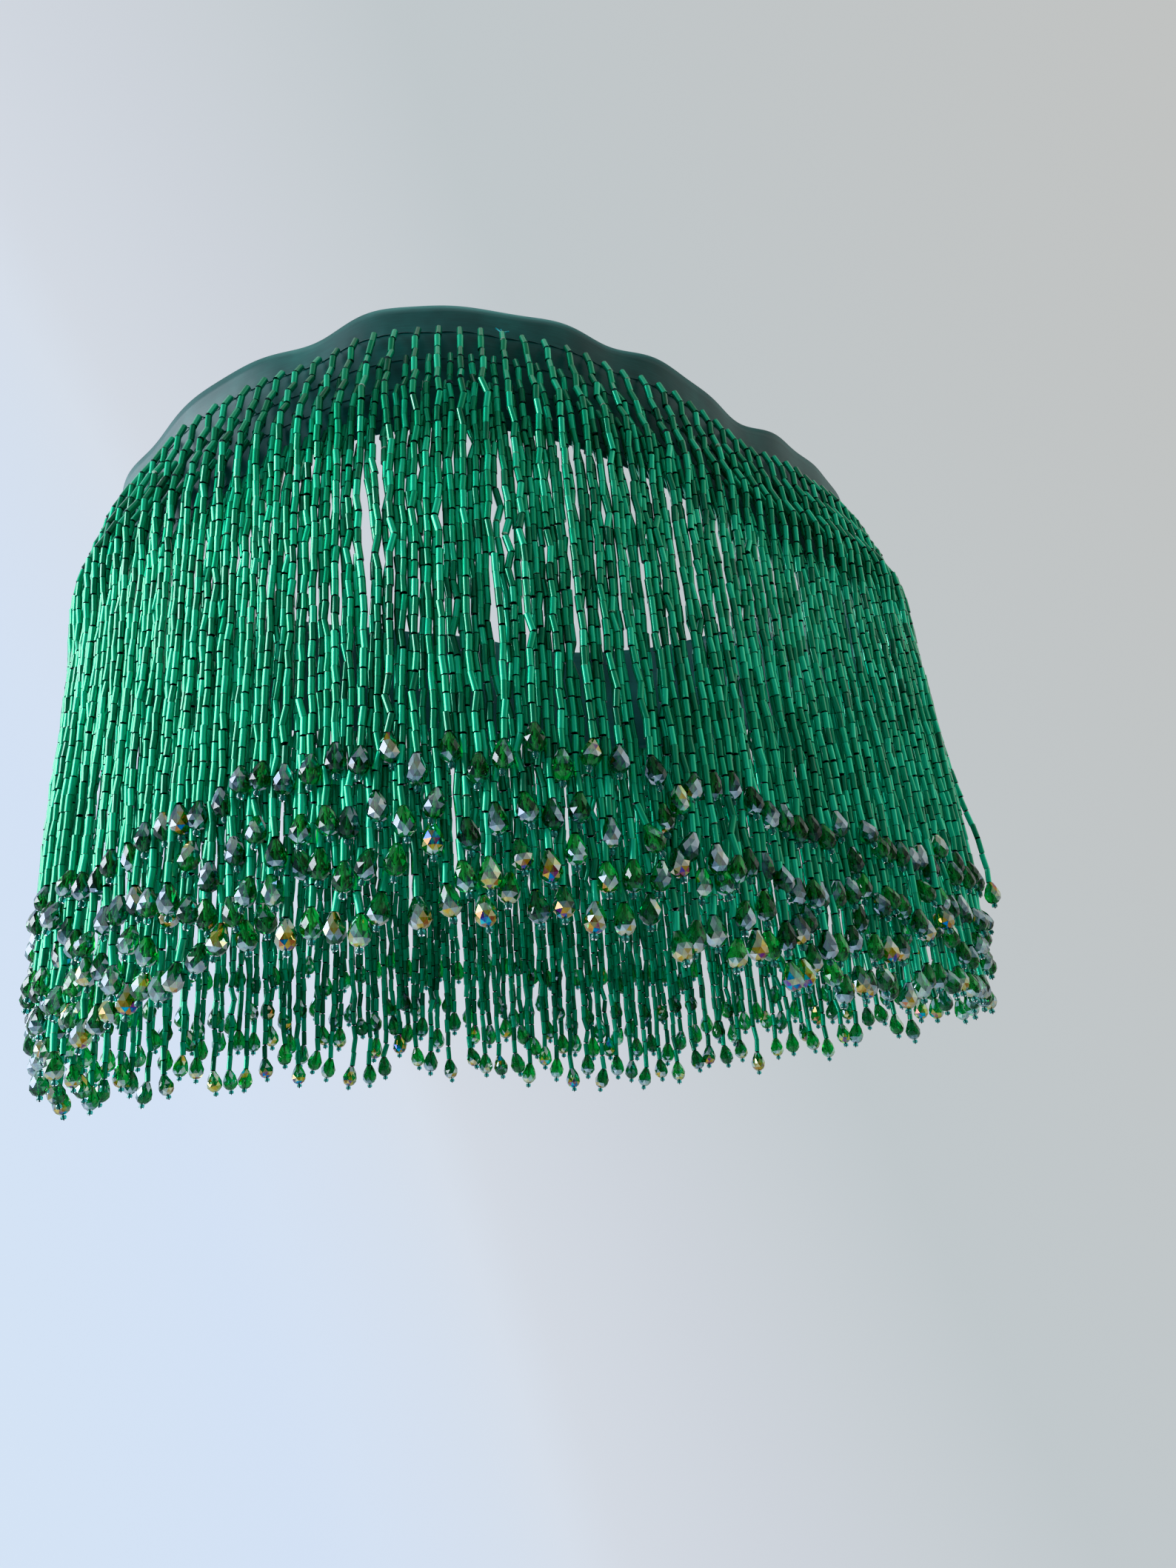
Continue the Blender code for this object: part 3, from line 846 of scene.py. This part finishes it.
def drops_piece(name, row, joints):
    """Crystals with their bores, and the stoppers of a row. Gives the thread's tips below them too."""
    chance = np.random.default_rng(300 + row)
    end, before = joints[:, -1], joints[:, -3]
    axis = unit(0.5 * unit(before - end) + np.array([0, 0, 0.5]) + chance.normal(0, TILT, (STRANDS, 3)))
    size = chance.normal(1.0, SIZE_SPREAD, STRANDS)
    spin = chance.uniform(0, 2 * math.pi, STRANDS)
    top = end - axis * END_PLAY
    below = top - axis * (CRYSTAL_LENGTH * size[:, None] + END_PLAY)
    shapes = [scatter(*shape, place, axis, spin, size)
              for shape, place in ((crystal, top), (bore, top), (stopper, below))]
    starts = np.cumsum([0] + [len(shape[0]) for shape in shapes])
    counts = [sum(map(len, shape[1])) for shape in shapes]
    film, tone = coat_films(chance, row)
    rest = sum(counts[1:])
    material_of = np.repeat([0, 1, 2], counts)
    piece = new_piece(name, np.concatenate([shape[0] for shape in shapes]),
                      [part + start for shape, start in zip(shapes, starts) for part in shape[1]],
                      [crystal_glass, bore_glass, stopper_glass], material_of > 0, material_of, None,
                      {"film": np.concatenate([film, np.zeros(rest)]),
                       "tone": np.concatenate([tone, chance.uniform(0, 1, rest)])})
    return piece, below - axis * STOPPER_LENGTH * TIP_REACH


def stitches_piece(name, row):
    """A thread along the ribbon, in and out at each root: its distance out is the root mean of a wave."""
    run = np.linspace(SEAM_GAP, RING_LENGTH - SEAM_GAP, STRANDS * STITCH_STEPS)
    phase = math.pi * (run / STRAND_PITCH - FIRST_STRAND - ROW_STAGGER[row])
    out = RIBBON_THICKNESS / 2 + STITCH_RADIUS + STITCH_HEIGHT * (np.sqrt(np.abs(np.sin(phase))) - 1)
    drop = ROOT_DROPS[row] + STITCH_WAVER * (np.sin(run / 0.0031) + np.sin(run / 0.0113))
    line = hang(run, drop, out + ribbon_stand_off(run, drop))
    return plain_tubes(name, line[None], STITCH_RADIUS, thread)


def thread_end(name, root, below):
    """Three frayed threads that stand up from a root, thin tubes that spread to both sides as they rise."""
    rise = np.linspace(0, 1, END_STEPS)[None, :, None]
    up = unit(root - below)
    side = np.cross(up, (0.0, 1.0, 0.0))
    spread = np.array(END_SPREAD)[:, None, None]
    line = root + END_LENGTH * rise * (up + (0.0, -0.25, 0.0) + spread * rise * side)
    return plain_tubes(name, line, END_RADIUS, knot_thread)


for row in range(ROW_COUNT):
    label = "row_%d" % (row + 1)
    drops, tips = drops_piece(label + "_crystals", row, joint_points[row])
    rings, tone = strand_surfaces(row, root_points[row], joint_points[row], tips)
    bugles = strand_piece(label + "_bugles", rings, tone, [lined_glass, thread])
    threads = [stitches_piece(label + "_stitches", row)]
    if row == 0:
        threads.append(thread_end(label + "_thread_end", *joint_points[row][KNOT_STRAND, :2]))
    for piece in (bugles, drops, *threads):
        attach(piece, "root")
        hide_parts("fringe_row_%d" % (row + 1))
    print(label, "bugles:", tone.size, "triangles:", sum(len(p.vertices) - 2 for p in bugles.data.polygons))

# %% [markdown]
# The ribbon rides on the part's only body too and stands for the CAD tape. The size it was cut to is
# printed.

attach(ribbon, "root")
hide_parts("tape")
print("ribbon cut to mm:", round(1000 * (RING_LENGTH - SEAM_GAP)), "x", round(1000 * TAPE_HEIGHT))

# %% [markdown]
# ## Light, floor and surroundings
#
# Soft light from a large window on the left gives the bright stripes on that side of the beads. The glass
# mirrors the rest of the room: it is sky blue on the window's side and grey further round, with a pale
# wall opposite the window, and the light is weaker from behind the camera. The neutral view transform is
# chosen because the usual one washes out a green as deep as this.

# %% Stage
FLOOR_DROP, FLOOR_RADIUS = 1.0, 1.5
FLOOR_RINGS, FLOOR_SIDES = 12, 96
RING_MIDDLE = np.array([0.0, FRONT_REACH, -0.12])
TO_WINDOW = -0.91 * VIEW_RIGHT - 0.41 * VIEW_UP
ROOM_COLOURS = ((0.0, "#f4f8f7"), (0.2, "#abacab"), (0.45, "#abb1b4"), (0.6, "#bcc1c9"),
                (0.7, "#cddbee"), (1.0, "#dceeff"))
FAR_LIGHT, NEAR_LIGHT = 1.4, 0.85
WINDOW_WIDTH, WINDOW_HEIGHT, WINDOW_WATTS, WINDOW_COLOUR = 1.0, 1.2, 46.0, "#eef5ff"
WINDOW_PLACE = RING_MIDDLE - 1.5 * VIEW_RIGHT + (0.0, -0.5, 0.25)
bpy.context.scene.view_settings.view_transform = "Khronos PBR Neutral"


def room_light():
    """World colour: a ramp along one direction, from a pale wall at the right, over the greyer far side, to
    the bright window side. Towards the near side of the room the light is weaker."""
    world = bpy.data.worlds.new("pale_room")
    bpy.context.scene.world = world
    world.use_nodes = True
    tree = world.node_tree
    tree.nodes.clear()
    place = add_node(tree, "ShaderNodeTexCoord")
    across, behind = (add_node(tree, "ShaderNodeVectorMath", {"operation": "DOT_PRODUCT"},
                               {1: direction.tolist()}, {0: place.outputs["Generated"]})
                      for direction in (TO_WINDOW, -VIEW_FORWARD))
    share = add_node(tree, "ShaderNodeMapRange", {}, {"From Min": -1.0, "From Max": 1.0},
                     {"Value": across.outputs["Value"]})
    colour = add_node(tree, "ShaderNodeValToRGB", {}, {}, {"Fac": share.outputs["Result"]})
    fill_ramp(colour, ROOM_COLOURS)
    dim = add_node(tree, "ShaderNodeMapRange", {"interpolation_type": "SMOOTHSTEP"},
                   {"From Min": -0.3, "From Max": 0.75, "To Min": FAR_LIGHT, "To Max": NEAR_LIGHT},
                   {"Value": behind.outputs["Value"]})
    shader = add_node(tree, "ShaderNodeBackground", {}, {},
                      {"Color": colour.outputs["Color"], "Strength": dim.outputs["Result"]})
    add_node(tree, "ShaderNodeOutputWorld", {}, {}, {"Surface": shader.outputs["Background"]})


def add_window():
    """The window: a rectangular area light, turned so that its face looks at the middle of the ring."""
    light = bpy.data.lights.new("window", "AREA")
    light.shape = "RECTANGLE"
    light.size, light.size_y, light.energy = WINDOW_WIDTH, WINDOW_HEIGHT, WINDOW_WATTS
    light.color = linear(WINDOW_COLOUR)[:3]
    lamp = bpy.data.objects.new("window", light)
    away = unit(WINDOW_PLACE - RING_MIDDLE)
    side = unit(np.cross([0, 0, 1], away))
    turn = Matrix(np.column_stack([side, np.cross(away, side), away]).tolist()).to_4x4()
    lamp.matrix_world = Matrix.Translation(WINDOW_PLACE) @ turn
    bpy.context.scene.collection.objects.link(lamp)


def pale_floor():
    """A round plain floor far below, as a fan of rings, with a matt pale paint."""
    radius, angle = np.meshgrid(np.linspace(0.001, FLOOR_RADIUS, FLOOR_RINGS),
                                2 * math.pi * np.arange(FLOOR_SIDES) / FLOOR_SIDES, indexing="ij")
    points = upright_rings(radius, -FLOOR_DROP, angle) + (0.0, FRONT_REACH, 0.0)
    material, tree = new_material("matt_floor_paint")
    finish_material(tree, {"Base Color": linear("#d9dee3"), "Roughness": 0.9})
    faces = [grid_faces(FLOOR_RINGS, FLOOR_SIDES, closed=True), np.arange(FLOOR_SIDES)[None]]
    return new_piece("floor", points, faces, [material])


room_light()
add_window()
pale_floor()
print("room ready")
